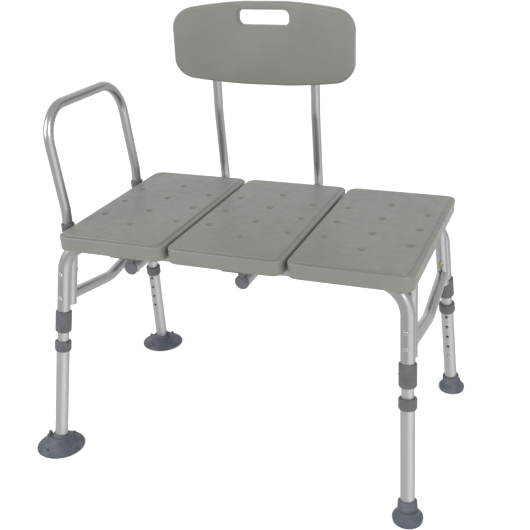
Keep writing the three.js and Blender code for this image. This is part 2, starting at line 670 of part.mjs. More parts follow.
// The origin is the middle of the bench's footprint box, on the floor.
const box = new THREE.Box3().setFromObject(bench, true);
const middle = box.getCenter(new THREE.Vector3());
bench.position.set(-middle.x, -middle.y, -box.min.z);

export default bench;
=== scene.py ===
"""Bath transfer bench: the finished surfaces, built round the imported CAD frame. Metres."""

import json
import math

import bmesh
import bpy
from mathutils import Matrix, Vector


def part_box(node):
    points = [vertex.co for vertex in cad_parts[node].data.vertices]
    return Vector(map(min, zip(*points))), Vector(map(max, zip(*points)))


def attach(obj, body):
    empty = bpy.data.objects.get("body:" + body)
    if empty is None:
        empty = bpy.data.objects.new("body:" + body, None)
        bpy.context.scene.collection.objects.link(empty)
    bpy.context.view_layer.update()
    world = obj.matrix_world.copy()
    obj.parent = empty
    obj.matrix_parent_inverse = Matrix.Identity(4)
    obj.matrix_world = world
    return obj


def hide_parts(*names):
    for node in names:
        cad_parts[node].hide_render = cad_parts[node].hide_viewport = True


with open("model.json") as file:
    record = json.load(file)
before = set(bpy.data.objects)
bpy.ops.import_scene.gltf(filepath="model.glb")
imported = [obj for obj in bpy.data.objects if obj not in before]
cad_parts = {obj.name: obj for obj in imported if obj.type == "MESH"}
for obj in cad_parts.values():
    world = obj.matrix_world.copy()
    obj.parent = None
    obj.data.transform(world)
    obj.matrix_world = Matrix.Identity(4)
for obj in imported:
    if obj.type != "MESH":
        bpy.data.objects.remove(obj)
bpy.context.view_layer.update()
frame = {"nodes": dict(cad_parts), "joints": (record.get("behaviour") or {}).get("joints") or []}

NODES = frame["nodes"]
JOINTS = {joint["name"]: joint for joint in frame["joints"]}
ENDS = (("front", -1), ("rear", 1))
SIDES = ("left", "right")
PLACES = [(f"{end}_{side}", end, end_sign, side) for end, end_sign in ENDS for side in SIDES]
MM = 0.001

# ------------------------------------------------------------------ camera

AZIMUTH, ELEVATION, ROLL = (math.radians(a) for a in (21.8, 23.7, -2.3))
CAMERA_FROM_SEAT = Vector((0.5623, -1.4077, 0.5607))
LENS, SENSOR_WIDTH = 57.9, 36    # millimetres


def middle_of(node):
    low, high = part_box(node)
    return (low + high) / 2


def add_camera():
    low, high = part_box("seat_panel_middle")
    seat_top = Vector(((low.x + high.x) / 2, (low.y + high.y) / 2, high.z))
    right = Vector((math.cos(AZIMUTH), math.sin(AZIMUTH), 0))
    back = Vector((math.sin(AZIMUTH) * math.cos(ELEVATION),
                   -math.cos(AZIMUTH) * math.cos(ELEVATION), math.sin(ELEVATION)))
    up = back.cross(right)
    rolled_right = right * math.cos(ROLL) + up * math.sin(ROLL)
    rolled_up = up * math.cos(ROLL) - right * math.sin(ROLL)
    data = bpy.data.cameras.new("camera")
    data.lens = LENS
    data.sensor_width = SENSOR_WIDTH
    camera = bpy.data.objects.new("camera", data)
    turn = Matrix((rolled_right, rolled_up, back)).transposed().to_4x4()
    camera.matrix_world = Matrix.Translation(seat_top + CAMERA_FROM_SEAT) @ turn
    bpy.context.scene.collection.objects.link(camera)
    bpy.context.scene.camera = camera


add_camera()

# ------------------------------------------------------------------ materials


class Recipe:
    """A material's node tree, with short calls for the nodes used here."""

    def __init__(self, name, metallic, roughness, colour):
        self.material = bpy.data.materials.new(name)
        self.material.use_nodes = True
        self.tree = self.material.node_tree
        self.shader = self.tree.nodes["Principled BSDF"]
        self.shader.inputs["Metallic"].default_value = metallic
        self.shader.inputs["Roughness"].default_value = roughness
        self.shader.inputs["Base Color"].default_value = (*colour, 1)
        self.position = self.tree.nodes.new("ShaderNodeTexCoord").outputs["Object"]

    def node(self, kind, **inputs):
        made = self.tree.nodes.new(kind)
        for name, value in inputs.items():
            self.feed(made.inputs[name.replace("_", " ")], value)
        return made

    def feed(self, socket, value):
        if isinstance(value, bpy.types.NodeSocket):
            self.tree.links.new(value, socket)
        else:
            socket.default_value = value

    def noise(self, scale, detail=3, stretch=None, source=None):
        """Noise of about 1/scale metres, stretched where asked."""
        vector = source or self.position
        if stretch:
            mapping = self.node("ShaderNodeMapping", Vector=vector)
            mapping.inputs["Scale"].default_value = stretch
            vector = mapping.outputs["Vector"]
        return self.node("ShaderNodeTexNoise", Vector=vector, Scale=scale, Detail=detail).outputs["Fac"]

    def spread(self, value, low, high, start=0.3, end=0.7):
        """value from start to end mapped onto low to high."""
        made = self.node("ShaderNodeMapRange", Value=value)
        for name, number in (("From Min", start), ("From Max", end), ("To Min", low), ("To Max", high)):
            made.inputs[name].default_value = number
        return made.outputs["Result"]

    def blend_colours(self, factor, first, second):
        made = self.tree.nodes.new("ShaderNodeMix")
        made.data_type = "RGBA"
        self.feed(made.inputs[0], factor)
        self.feed(made.inputs[6], first if isinstance(first, bpy.types.NodeSocket) else (*first, 1))
        self.feed(made.inputs[7], second if isinstance(second, bpy.types.NodeSocket) else (*second, 1))
        return made.outputs[2]

    def bump(self, height, strength, distance, after=None):
        made = self.node("ShaderNodeBump", Height=height, Strength=strength, Distance=distance)
        if after:
            self.tree.links.new(after, made.inputs["Normal"])
        return made.outputs["Normal"]

    def pointiness(self):
        return self.tree.nodes.new("ShaderNodeNewGeometry").outputs["Pointiness"]

    def finish(self, colour=None, roughness=None, normal=None):
        for name, value in (("Base Color", colour), ("Roughness", roughness), ("Normal", normal)):
            if value is not None:
                self.tree.links.new(value, self.shader.inputs[name])
        return self.material


def seat_plastic():
    """Blow-moulded polyethylene: warm grey, fine pebble grain, slightly wavy, with a painted highlight along
    its edges and some edge wear.
    """
    recipe = Recipe("seat_plastic", 0, 0.36, (0.19, 0.182, 0.164))
    cloudy = recipe.noise(9, 4)
    speckle = recipe.noise(420, 2)
    base = recipe.blend_colours(recipe.spread(cloudy, 0, 1), (0.170, 0.163, 0.146), (0.192, 0.185, 0.167))
    base = recipe.blend_colours(recipe.spread(speckle, 0, 0.25, 0.5, 0.75), base, (0.25, 0.243, 0.225))
    # Painted highlight along the edges, with some edge wear: paler where the surface turns sharply.
    pale_edges = recipe.spread(recipe.pointiness(), 0, 0.45, 0.53, 0.62)
    base = recipe.blend_colours(pale_edges, base, (0.42, 0.41, 0.385))
    grain = recipe.bump(recipe.noise(1100, 3), 0.12, 0.2 * MM)
    wavy = recipe.bump(recipe.noise(16, 2), 0.10, 1.2 * MM, grain)
    return recipe.finish(base, recipe.spread(recipe.noise(60, 3), 0.30, 0.42), wavy)


def drawn_aluminium(name, dark, light, rough_low, rough_high):
    """Anodised tube: fine draw lines along its length and faint handling marks."""
    recipe = Recipe(name, 1, rough_low, light)
    along = recipe.tree.nodes.new("ShaderNodeUVMap").outputs["UV"]
    lines = recipe.noise(1, 4, (260, 3, 1), along)
    smudges = recipe.noise(24, 4)
    colour = recipe.blend_colours(recipe.spread(lines, 0, 1), dark, light)
    rough = recipe.node("ShaderNodeMath", Value=recipe.spread(lines, rough_low, rough_high))
    rough.operation = "ADD"
    recipe.feed(rough.inputs[1], recipe.spread(smudges, -0.02, 0.07))
    return recipe.finish(colour, rough.outputs[0], recipe.bump(lines, 0.12, 0.05 * MM))


def moulded_plastic(name, colour, light):
    """Injection-moulded collar or cap: fine matt texture, paler on worn edges."""
    recipe = Recipe(name, 0, 0.5, colour)
    cloudy = recipe.spread(recipe.noise(70, 3), 0, 1)
    base = recipe.blend_colours(cloudy, tuple(c * 0.88 for c in colour), tuple(c * 1.14 for c in colour))
    pale_edges = recipe.spread(recipe.pointiness(), 0, 0.7, 0.52, 0.62)
    base = recipe.blend_colours(pale_edges, base, light)
    return recipe.finish(base, recipe.spread(recipe.noise(300, 2), 0.42, 0.58),
                         recipe.bump(recipe.noise(1600, 2), 0.3, 0.12 * MM))


def foot_rubber():
    """Dark blue-grey rubber with a dusty bloom and a fine grain."""
    recipe = Recipe("foot_rubber", 0, 0.7, (0.085, 0.095, 0.115))
    bloom = recipe.spread(recipe.noise(38, 5), 0, 1, 0.42, 0.72)
    base = recipe.blend_colours(bloom, (0.070, 0.080, 0.100), (0.125, 0.135, 0.150))
    pale_edges = recipe.spread(recipe.pointiness(), 0, 0.6, 0.52, 0.64)
    base = recipe.blend_colours(pale_edges, base, (0.20, 0.21, 0.23))
    return recipe.finish(base, recipe.spread(recipe.noise(200, 3), 0.50, 0.75),
                         recipe.bump(recipe.noise(900, 4), 0.35, 0.2 * MM))


def fastener_metal(name, colour):
    """Plated steel or brass, lightly mottled."""
    recipe = Recipe(name, 1, 0.28, colour)
    mottled = recipe.spread(recipe.noise(320, 4), 0, 1)
    base = recipe.blend_colours(mottled, tuple(c * 0.82 for c in colour), colour)
    return recipe.finish(base, recipe.spread(recipe.noise(500, 3), 0.20, 0.42),
                         recipe.bump(recipe.noise(1500, 3), 0.15, 0.05 * MM))


SEAT = seat_plastic()
ALUMINIUM = drawn_aluminium("satin_aluminium", (0.40, 0.40, 0.415), (0.47, 0.47, 0.485), 0.24, 0.32)
MATT_ALUMINIUM = drawn_aluminium("matt_aluminium", (0.47, 0.47, 0.47), (0.53, 0.53, 0.535), 0.40, 0.48)
COLLAR = moulded_plastic("collar_plastic", (0.090, 0.093, 0.100), (0.20, 0.21, 0.22))
CAP = moulded_plastic("cap_plastic", (0.105, 0.105, 0.116), (0.24, 0.24, 0.25))
RUBBER = foot_rubber()
STEEL = fastener_metal("zinc_steel", (0.55, 0.55, 0.53))
BRASS = fastener_metal("yellow_zinc", (0.56, 0.50, 0.36))

# ------------------------------------------------------------------ mesh building

SHARP_ANGLE = math.radians(38)


def make_piece(name, mesh, material):
    """An object with smooth faces and sharp edges where the surface turns."""
    tidy = bmesh.new()
    tidy.from_mesh(mesh)
    bmesh.ops.remove_doubles(tidy, verts=tidy.verts, dist=1e-6)
    bmesh.ops.recalc_face_normals(tidy, faces=tidy.faces)
    for face in tidy.faces:
        face.smooth = True
    for edge in tidy.edges:
        edge.smooth = len(edge.link_faces) == 2 and edge.calc_face_angle(0) < SHARP_ANGLE
    tidy.to_mesh(mesh)
    tidy.free()
    mesh.materials.clear()
    mesh.materials.append(material)
    piece = bpy.data.objects.new(name, mesh)
    bpy.context.scene.collection.objects.link(piece)
    return piece


def mesh_of(verts, faces, uvs=None):
    mesh = bpy.data.meshes.new("part")
    mesh.from_pydata(verts, [], faces)
    if uvs:
        layer = mesh.uv_layers.new(name="along")
        for loop in mesh.loops:
            layer.data[loop.index].uv = uvs[loop.vertex_index]
    return mesh


def joined(meshes):
    """Several meshes as one."""
    whole = bmesh.new()
    for mesh in meshes:
        whole.from_mesh(mesh)
        bpy.data.meshes.remove(mesh)
    made = bpy.data.meshes.new("part")
    whole.to_mesh(made)
    whole.free()
    return made


def oriented(mesh):
    whole = bmesh.new()
    whole.from_mesh(mesh)
    bmesh.ops.recalc_face_normals(whole, faces=whole.faces)
    whole.to_mesh(mesh)
    whole.free()
    return mesh


def combined(mesh, tool, operation="DIFFERENCE"):
    """mesh cut by, or joined with, the closed mesh tool."""
    body = bpy.data.objects.new("body", oriented(mesh))
    cutter = bpy.data.objects.new("cutter", oriented(tool))
    for part in (body, cutter):
        bpy.context.scene.collection.objects.link(part)
    modifier = body.modifiers.new("cut", "BOOLEAN")
    modifier.operation = operation
    modifier.solver = "EXACT"
    modifier.object = cutter
    graph = bpy.context.evaluated_depsgraph_get()
    made = bpy.data.meshes.new_from_object(body.evaluated_get(graph))
    for part in (body, cutter):
        bpy.data.objects.remove(part)
    for old in (mesh, tool):
        bpy.data.meshes.remove(old)
    return made


def turned_mesh(profile, place=None, steps=48):
    """A turned solid about +Z from (radius, height) pairs; ends on the axis or closes on itself."""
    closed = profile[0][0] > 0
    verts, faces, uvs = [], [], []
    for radius, height in profile:
        for i in range(steps):
            angle = 2 * math.pi * i / steps
            verts.append((radius * math.cos(angle), radius * math.sin(angle), height))
            uvs.append((min(i, steps - i) * 2 / steps, height))
    rows = len(profile)
    for row in range(rows if closed else rows - 1):
        after = (row + 1) % rows
        for i in range(steps):
            j = (i + 1) % steps
            faces.append((row * steps + i, row * steps + j, after * steps + j, after * steps + i))
    mesh = mesh_of(verts, faces, uvs)
    whole = bmesh.new()
    whole.from_mesh(mesh)
    bmesh.ops.remove_doubles(whole, verts=whole.verts, dist=1e-7)
    bmesh.ops.dissolve_degenerate(whole, edges=whole.edges, dist=1e-7)
    whole.to_mesh(mesh)
    whole.free()
    if place is not None:
        mesh.transform(place)
    return mesh


def block_mesh(low, high):
    verts = [(x, y, z) for x in (low.x, high.x) for y in (low.y, high.y) for z in (low.z, high.z)]
    faces = [(0, 1, 3, 2), (4, 6, 7, 5), (0, 4, 5, 1), (2, 3, 7, 6), (0, 2, 6, 4), (1, 5, 7, 3)]
    return mesh_of(verts, faces)


def rounded(points, radius, steps=4):
    """A profile with each inner corner given a round of that radius."""
    made = [points[0]]
    for before, corner, after in zip(points, points[1:], points[2:]):
        a, b, c = (Vector(p) for p in (before, corner, after))
        arriving, leaving = (b - a), (c - b)
        reach = min(radius, arriving.length * 0.45, leaving.length * 0.45)
        start, end = b - arriving.normalized() * reach, b + leaving.normalized() * reach
        for i in range(steps + 1):
            t = i / steps
            made.append(tuple(start * (1 - t) ** 2 + b * 2 * t * (1 - t) + end * t ** 2))
    return made + [points[-1]]


def rounded_ring(points, radius, steps=4):
    """The same for a profile that closes on itself."""
    looped = rounded([points[-1], *points, points[0]], radius, steps)
    return looped[1:-1]


def in_mm(profile):
    """The metres of a profile given in millimetres."""
    return [(radius * MM, height * MM) for radius, height in profile]


def bent_path(corners, radii, degrees=4):
    """Stations (point, tangent) along straight runs joined by round bends."""
    stations = [(corners[0], (corners[1] - corners[0]).normalized())]
    for before, corner, after, radius in zip(corners, corners[1:], corners[2:], radii):
        arriving, leaving = (corner - before).normalized(), (after - corner).normalized()
        turn = arriving.angle(leaving)
        start = corner - arriving * radius * math.tan(turn / 2)
        sideways = (leaving - arriving * leaving.dot(arriving)).normalized()
        steps = max(3, round(math.degrees(turn) / degrees))
        for i in range(steps + 1):
            angle = turn * i / steps
            stations.append((start + arriving * radius * math.sin(angle)
                             + sideways * radius * (1 - math.cos(angle)),
                             arriving * math.cos(angle) + sideways * math.sin(angle)))
    return stations + [(corners[-1], (corners[-1] - corners[-2]).normalized())]


def tube_mesh(stations, radius, bore, sides=40):
    """A hollow tube along a path, its end edges lightly broken; a bar where bore is 0."""
    normal = stations[0][1].orthogonal().normalized()
    length = 0
    rings = []
    for i, (point, tangent) in enumerate(stations):
        if i:
            length += (point - stations[i - 1][0]).length
            normal = stations[i - 1][1].rotation_difference(tangent) @ normal
        rings.append((point, tangent, normal.copy(), length))
    break_width = min(0.3 * MM, radius * 0.2)
    first, last = rings[0], rings[-1]
    layout = [(first, radius - break_width, 0), (first, radius, break_width)]
    layout += [(ring, radius, 0) for ring in rings[1:-1]]
    layout += [(last, radius, -break_width), (last, radius - break_width, 0)]
    if bore:
        inside = [(last, bore, 0), *((ring, bore, 0) for ring in reversed(rings[1:-1])), (first, bore, 0)]
        layout += inside
    verts, uvs, faces = [], [], []
    for (point, tangent, across, along), r, shift in layout:
        other = tangent.cross(across)
        for i in range(sides):
            angle = 2 * math.pi * i / sides
            verts.append(point + tangent * shift + (across * math.cos(angle) + other * math.sin(angle)) * r)
            uvs.append((min(i, sides - i) * 2 / sides, along + shift))
    rows = len(layout)
    for row in range(rows if bore else rows - 1):
        after = (row + 1) % rows
        for i in range(sides):
            j = (i + 1) % sides
            faces.append((row * sides + i, row * sides + j, after * sides + j, after * sides + i))
    if not bore:
        faces.append(tuple(reversed(range(sides))))
        faces.append(tuple(range((rows - 1) * sides, rows * sides)))
    return mesh_of(verts, faces, uvs)


def rod_mesh(start, end, radius, sides=32):
    along = (end - start).normalized()
    return tube_mesh([(start, along), (end, along)], radius, 0, sides)


def facing(point, direction):
    """A place with +Z along direction."""
    return Matrix.Translation(point) @ direction.to_track_quat("Z", "Y").to_matrix().to_4x4()


def fit(piece, body, *nodes):
    """piece moved by body, in the place of nodes."""
    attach(piece, body)
    if nodes:
        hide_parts(*nodes)


def skin(node, mesh, material, body):
    """The piece that takes one node's place, named after it."""
    fit(make_piece(f"{node}.skin", mesh, material), body, node)


# ------------------------------------------------------------------ dimensions from the frame

TUBE_RADIUS, TUBE_BORE = 12.7 * MM, 11.3 * MM      # legs and frame
SLIDE_RADIUS, SLIDE_BORE = 11.0 * MM, 9.7 * MM     # inner columns, sockets and braces
RAIL_RADIUS, RAIL_BORE = 9.5 * MM, 8.2 * MM        # armrest and backrest tubes
FRAME_BEND = 60 * MM
HOLE_RADIUS = 3.7 * MM
HOLE_PITCH = 25.4 * MM


class Leg:
    """A leg's axes: origin on the floor, +Z up the leg, +Y towards the bench's middle."""

    def __init__(self, place, end_sign, side):
        foot = middle_of(f"suction_foot_{place.split('_')[0]}" if side == "left"
                         else f"rubber_foot_{place.split('_')[0]}")
        self.foot = Vector((foot.x, foot.y, 0))
        self.up = -Vector(JOINTS[f"extension_slide_{place}"]["axis"]).normalized()
        inward = Vector((0, -end_sign, 0))
        self.inward = (inward - self.up * inward.dot(self.up)).normalized()
        self.across = self.inward.cross(self.up)
        turn = Matrix((self.across, self.inward, self.up)).transposed().to_4x4()
        self.matrix = Matrix.Translation(self.foot) @ turn
        self.fine_out = -Vector(JOINTS[f"fine_button_press_{place}"]["axis"]).normalized()
        self.fine_along = (middle_of(f"fine_button_{place}") - self.foot).dot(self.up)

    def fine_hole(self):
        """The hole through the outer tube and its collar for the fine stage's button."""
        start = self.at(0, 0, self.fine_along)
        return rod_mesh(start, start + self.fine_out * 20 * MM, HOLE_RADIUS, 32)

    def at(self, x, y, along):
        return self.matrix @ Vector((x, y, along))

    def at_height(self, height, offset=0):
        return self.at(0, offset, height / self.up.z)

    def span(self, node):
        """Lowest and highest places of a node along the leg."""
        along = [(v.co - self.foot).dot(self.up) for v in NODES[node].data.vertices]
        return min(along), max(along)


LEGS = {place: Leg(place, end_sign, side) for place, _, end_sign, side in PLACES}
SEAT_LOW, SEAT_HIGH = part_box("seat_panel_middle")
SEAT_TOP = SEAT_HIGH.z
FRAME_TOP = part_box("frame_tube_front")[1].z - TUBE_RADIUS
SOCKET_MIDDLE = middle_of("arm_socket_front_right")
SOCKET_OFFSET = (SOCKET_MIDDLE - LEGS["front_right"].foot).dot(LEGS["front_right"].inward)
BOLT_ALONG = sum(LEGS["front_left"].span("leg_bolt_front_left")) / 2

# ------------------------------------------------------------------ frame tubes


def frame_path(end):
    left, right = LEGS[f"{end}_left"], LEGS[f"{end}_right"]
    start = left.span(f"upper_collar_{end}_left")[0] + 4 * MM
    corners = [left.at(0, 0, start), left.at_height(FRAME_TOP),
               right.at_height(FRAME_TOP), right.at(0, 0, start)]
    return bent_path(corners, [FRAME_BEND, FRAME_BEND], 3)


for end, _ in ENDS:
    mesh = tube_mesh(frame_path(end), TUBE_RADIUS, TUBE_BORE, 48)
    for side in SIDES:
        mesh = combined(mesh, LEGS[f"{end}_{side}"].fine_hole())
    skin(f"frame_tube_{end}", mesh, ALUMINIUM, "frame")

# ------------------------------------------------------------------ seat panels

PANEL_CORNER = 20 * MM
CORNER_LOSS, LEAST_CORNER = 0.8, 6 * MM    # lost per unit of inset, and never less than this
# How far in from the outline, and how far below the top, from the underside round to the plateau.
PANEL_SECTION = rounded([(7, 30), (0.8, 30), (0, 2.6), (8.6, 2.6), (10.2, 0), (16, 0)], 2.8)
DRAIN_PITCH_X, DRAIN_PITCH_Y = 76.5 * MM, 75.9 * MM
DRAINS = [(column, row) for column in (-1, 1) for row in (-1, 0, 1)]
DRAINS += [(0, row) for row in (-1.5, -0.5, 0.5, 1.5)]


def rounded_loop(half_x, half_y, radius, steps=9):
    points = []
    for corner, (sx, sy) in enumerate(((1, 1), (-1, 1), (-1, -1), (1, -1))):
        for i in range(steps):
            angle = math.pi / 2 * (corner + i / (steps - 1))
            points.append((sx * (half_x - radius) + radius * math.cos(angle),
                           sy * (half_y - radius) + radius * math.sin(angle)))
    return points


def panel_mesh(centre_x, centre_y, half_x, half_y):
    verts, faces = [], []
    for inset, depth in PANEL_SECTION:
        corner = max(PANEL_CORNER - inset * MM * CORNER_LOSS, LEAST_CORNER)
        loop = rounded_loop(half_x - inset * MM, half_y - inset * MM, corner)
        verts += [(centre_x + x, centre_y + y, SEAT_TOP - depth * MM) for x, y in loop]
    size = len(verts) // len(PANEL_SECTION)
    for row in range(len(PANEL_SECTION) - 1):
        for i in range(size):
            j = (i + 1) % size
            faces.append((row * size + i, row * size + j, (row + 1) * size + j, (row + 1) * size + i))
    faces.append(tuple(reversed(range(size))))
    faces.append(tuple(range(len(verts) - size, len(verts))))
    return mesh_of(verts, faces)


def drain_cutter(x, y):
    top = SEAT_TOP
    hole, rim, above = 3.2 * MM, 7.6 * MM, 2 * MM
    profile = [(0, top - 50 * MM), (hole, top - 50 * MM), (hole, top - 2.6 * MM), (rim, top),
               (rim + above, top + above), (0, top + above)]
    return turned_mesh(rounded(profile, 1.6 * MM), Matrix.Translation((x, y, 0)), 40)


def underside_pocket(x, y):
    """A tapered kiss-off pocket in the panel's closed underside."""
    verts, faces = [], []
    low = SEAT_LOW.z - 2 * MM
    for half, z in ((27, low), (25, SEAT_LOW.z), (21, SEAT_LOW.z + 4.5 * MM), (19.5, SEAT_LOW.z + 5.5 * MM)):
        verts += [(x + px, y + py, z) for px, py in rounded_loop(half * MM, half * MM, 7 * MM, 5)]
    size = len(verts) // 4
    for row in range(3):
        for i in range(size):
            j = (i + 1) % size
            faces.append((row * size + i, row * size + j, (row + 1) * size + j, (row + 1) * size + i))
    faces.append(tuple(reversed(range(size))))
    faces.append(tuple(range(3 * size, 4 * size)))
    return mesh_of(verts, faces)


LEVEL = 0.9999    # a face whose normal is at least this upright is shaded flat


def seat_panel(name):
    low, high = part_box(f"seat_panel_{name}")
    centre, half = (low + high) / 2, (high - low) / 2
    mesh = panel_mesh(centre.x, centre.y, half.x, half.y)
    places = [(centre.x + column * DRAIN_PITCH_X, centre.y + row * DRAIN_PITCH_Y) for column, row in DRAINS]
    mesh = combined(mesh, joined([drain_cutter(x, y) for x, y in places]))
    pockets = [underside_pocket(centre.x + sx * DRAIN_PITCH_X / 2, centre.y + row * DRAIN_PITCH_Y)
               for sx in (-1, 1) for row in (-1, 0, 1)]
    mesh = combined(mesh, joined(pockets))
    for end, _ in ENDS:
        mesh = combined(mesh, tube_mesh(frame_path(end), TUBE_RADIUS + 0.6 * MM, 0, 40))
    piece = make_piece(f"seat_panel_{name}.skin", mesh, SEAT)
    for polygon in piece.data.polygons:
        if abs(polygon.normal.z) > LEVEL:
            polygon.use_smooth = False
    fit(piece, "frame", f"seat_panel_{name}")


for name in ("left", "middle", "right"):
    seat_panel(name)

# ------------------------------------------------------------------ sockets, braces and bolts

ARM_LOW, ARM_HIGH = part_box("armrest_tube")
KNEE_HEIGHT = ARM_LOW.z - 2 * MM


def socket_path(place, side):
    leg = LEGS[place]
    low, high = leg.span(f"arm_socket_{place}")
    bottom = leg.at(0, SOCKET_OFFSET, low + 1 * MM)
    if side == "right":
        return bent_path([bottom, leg.at(0, SOCKET_OFFSET, high - 1 * MM)], [])
    knee = leg.at_height(KNEE_HEIGHT, SOCKET_OFFSET)
    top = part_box(f"arm_socket_{place}")[1].z
    return bent_path([bottom, knee, Vector((knee.x, knee.y, top))], [70 * MM], 2)


def brace_mesh(side):
    face = SOCKET_OFFSET + SLIDE_RADIUS * 0.35
    front, rear = (LEGS[f"{end}_{side}"].at(0, face, BOLT_ALONG) for end, _ in ENDS)
    slope = LEGS[f"front_{side}"].inward
    valley = front + slope * ((front.y + rear.y) / 2 - front.y) / slope.y
    mesh = tube_mesh(bent_path([front, valley, rear], [90 * MM], 2), SLIDE_RADIUS, SLIDE_BORE)
    for end, _ in ENDS:
        leg = LEGS[f"{end}_{side}"]
        start, stop = (leg.at(0, SOCKET_OFFSET, BOLT_ALONG + reach) for reach in (-40 * MM, 40 * MM))
        mesh = combined(mesh, rod_mesh(start, stop, SLIDE_RADIUS + 0.2 * MM, 48))
    return mesh


def bolt_head(point, direction):
    """A low domed head with a round recess, on a thin washer."""
    dome = rounded([(0, 1 * MM), (4.8 * MM, 1 * MM), (4.8 * MM, 1.9 * MM), (3.4 * MM, 3.5 * MM),
                    (2.4 * MM, 3.6 * MM), (2.4 * MM, 1.6 * MM), (0, 1.5 * MM)], 0.5 * MM)
    washer = rounded([(0, 0), (5.6 * MM, 0), (5.6 * MM, 1 * MM), (0, 1 * MM)], 0.3 * MM)
    place = facing(point, direction)
    return [turned_mesh(dome, place, 36), turned_mesh(washer, place, 36)]


def hex_nut(point, direction, size=5.6 * MM):
    """A nut with chamfered corners and the bolt's end standing proud of it."""
    place = facing(point, direction)
    height = 5 * MM
    body = tube_mesh([(Vector((0, 0, 0)), Vector((0, 0, 1))), (Vector((0, 0, height)), Vector((0, 0, 1)))],
                     size, 0, 6)
    body.transform(place)
    chamfer = [(0, 0), (size * 0.96, 0), (size * 1.04, height * 0.18), (size * 1.04, height * 0.82),
               (size * 0.9, height), (0, height)]
    body = combined(body, turned_mesh(chamfer, place, 36), "INTERSECT")
    stud = rounded([(0, 0), (3 * MM, 0), (3 * MM, height + 2.5 * MM), (0, height + 2.8 * MM)], 0.5 * MM)
    return [body, turned_mesh(stud, place, 24)]


UPPER_BOLT = {"left": 48 * MM, "right": 29 * MM}    # above the lower one, along the leg

for place, _, _, side in PLACES:
    leg = LEGS[place]
    mesh = tube_mesh(socket_path(place, side), SLIDE_RADIUS, SLIDE_BORE + 0.3 * MM)
    skin(f"arm_socket_{place}", mesh, ALUMINIUM, "frame")
    lower = leg.at(0, -TUBE_RADIUS + 0.2 * MM, BOLT_ALONG)
    upper = leg.at(0, -TUBE_RADIUS + 0.2 * MM, BOLT_ALONG + UPPER_BOLT[side])
    heads = bolt_head(lower, -leg.inward) + bolt_head(upper, -leg.inward)
    fit(make_piece(f"leg_bolts_{place}.skin", joined(heads), STEEL), "frame", f"leg_bolt_{place}")
    nut = leg.at(0, SOCKET_OFFSET + SLIDE_RADIUS - 0.4 * MM, BOLT_ALONG + UPPER_BOLT[side])
    fit(make_piece(f"socket_nut_{place}", joined(hex_nut(nut, leg.inward)), BRASS), "frame")

for side in SIDES:
    skin(f"side_brace_{side}", brace_mesh(side), ALUMINIUM, "frame")

# ------------------------------------------------------------------ legs


RIBS = 20
RIB_DEPTH = 0.45 * MM
HOLE_COUNT = 5
SLIP = 0.15 * MM    # clearance of a moulded part round its tube


def collar_mesh(leg, node, outer, bore, lip, lip_at_top):
    """A moulded end sleeve: ribs between shallow grooves, chamfered ends and a guiding lip."""
    low, high = leg.span(node)
    small = outer - 2.0 * MM
    wall = [(small, low), (outer, low + 3.0 * MM), (outer, (low + high) / 2), (outer, high - 1.6 * MM),
            (outer - 1.0 * MM, high)]
    if lip_at_top:
        inside = [(lip, high), (lip, high - 3 * MM), (bore, high - 3 * MM), (bore, low)]
    else:
        inside = [(bore, high), (bore, low + 3 * MM), (lip, low + 3 * MM), (lip, low)]
    mesh = turned_mesh(rounded_ring(wall + inside, 0.7 * MM), None, RIBS * 8)
    for vertex in mesh.vertices:
        radius = math.hypot(vertex.co.x, vertex.co.y)
        if radius > outer - 0.2 * MM:
            groove = max(0, math.cos(RIBS * math.atan2(vertex.co.y, vertex.co.x))) ** 3
            shrink = 1 - RIB_DEPTH * groove / radius
            vertex.co.x *= shrink
            vertex.co.y *= shrink
    mesh.transform(leg.matrix)
    return mesh


def extension_mesh(leg, place):
    low, high = leg.span(f"extension_tube_{place}")
    stations = [(leg.at(0, 0, low), leg.up), (leg.at(0, 0, high), leg.up)]
    return hole_row(tube_mesh(stations, TUBE_RADIUS, TUBE_BORE, 64), leg, place, HOLE_RADIUS)


NOTCH_HALF = 3.6 * MM      # half the width of a slot that clears a snap button
CUT_FROM, CUT_TO = 4 * MM, 16 * MM    # reach of a slot's cutter, from the tube's axis
FINE_TRAVEL = 12.7 * MM


def inner_mesh(leg, place):
    """The inner tube, slotted where each button is pressed into it."""
    low, high = leg.span(f"inner_tube_{place}")
    stations = [(leg.at(0, 0, low), leg.up), (leg.at(0, 0, high), leg.up)]
    mesh = tube_mesh(stations, SLIDE_RADIUS, SLIDE_BORE, 64)
    mesh = hole_row(mesh, leg, place, HOLE_RADIUS * 0.6)
    button = sum(leg.span(f"height_button_{place}")) / 2
    notch = block_mesh(Vector((-NOTCH_HALF, CUT_FROM, low - 1 * MM)),
                       Vector((NOTCH_HALF, CUT_TO, button + NOTCH_HALF)))
    near, far = sorted(leg.fine_out.dot(leg.across) * reach for reach in (CUT_FROM, CUT_TO))
    slot = block_mesh(Vector((near, -NOTCH_HALF, leg.fine_along - NOTCH_HALF)),
                      Vector((far, NOTCH_HALF, leg.fine_along + FINE_TRAVEL + NOTCH_HALF)))
    for cutter in (notch, slot):
        cutter.transform(leg.matrix)
        mesh = combined(mesh, cutter)
    return mesh


def hole_row(mesh, leg, place, radius):
    """The five adjusting holes, from the height button's upwards."""
    button = sum(leg.span(f"height_button_{place}")) / 2
    for i in range(HOLE_COUNT):
        level = button + i * HOLE_PITCH
        hole = rod_mesh(leg.at(0, 5 * MM, level), leg.at(0, 20 * MM, level), radius, 32)
        mesh = combined(mesh, hole)
    return mesh


def button_mesh(place, reach, start):
    """A snap button: a short shank under a full dome."""
    radius = 3.2 * MM
    dome = [(radius * math.cos(a), reach - radius * 0.75 * (1 - math.sin(a)))
            for a in (math.radians(d) for d in range(0, 90, 10))]
    return turned_mesh([(0, start), (radius, start), *dome, (0, reach)], place, 36)


def tube_pocket(leg):
    """The hole in a foot for the end of its tube."""
    return rod_mesh(leg.at(0, 0, 9 * MM), leg.at(0, 0, 80 * MM), TUBE_RADIUS + SLIP, 64)


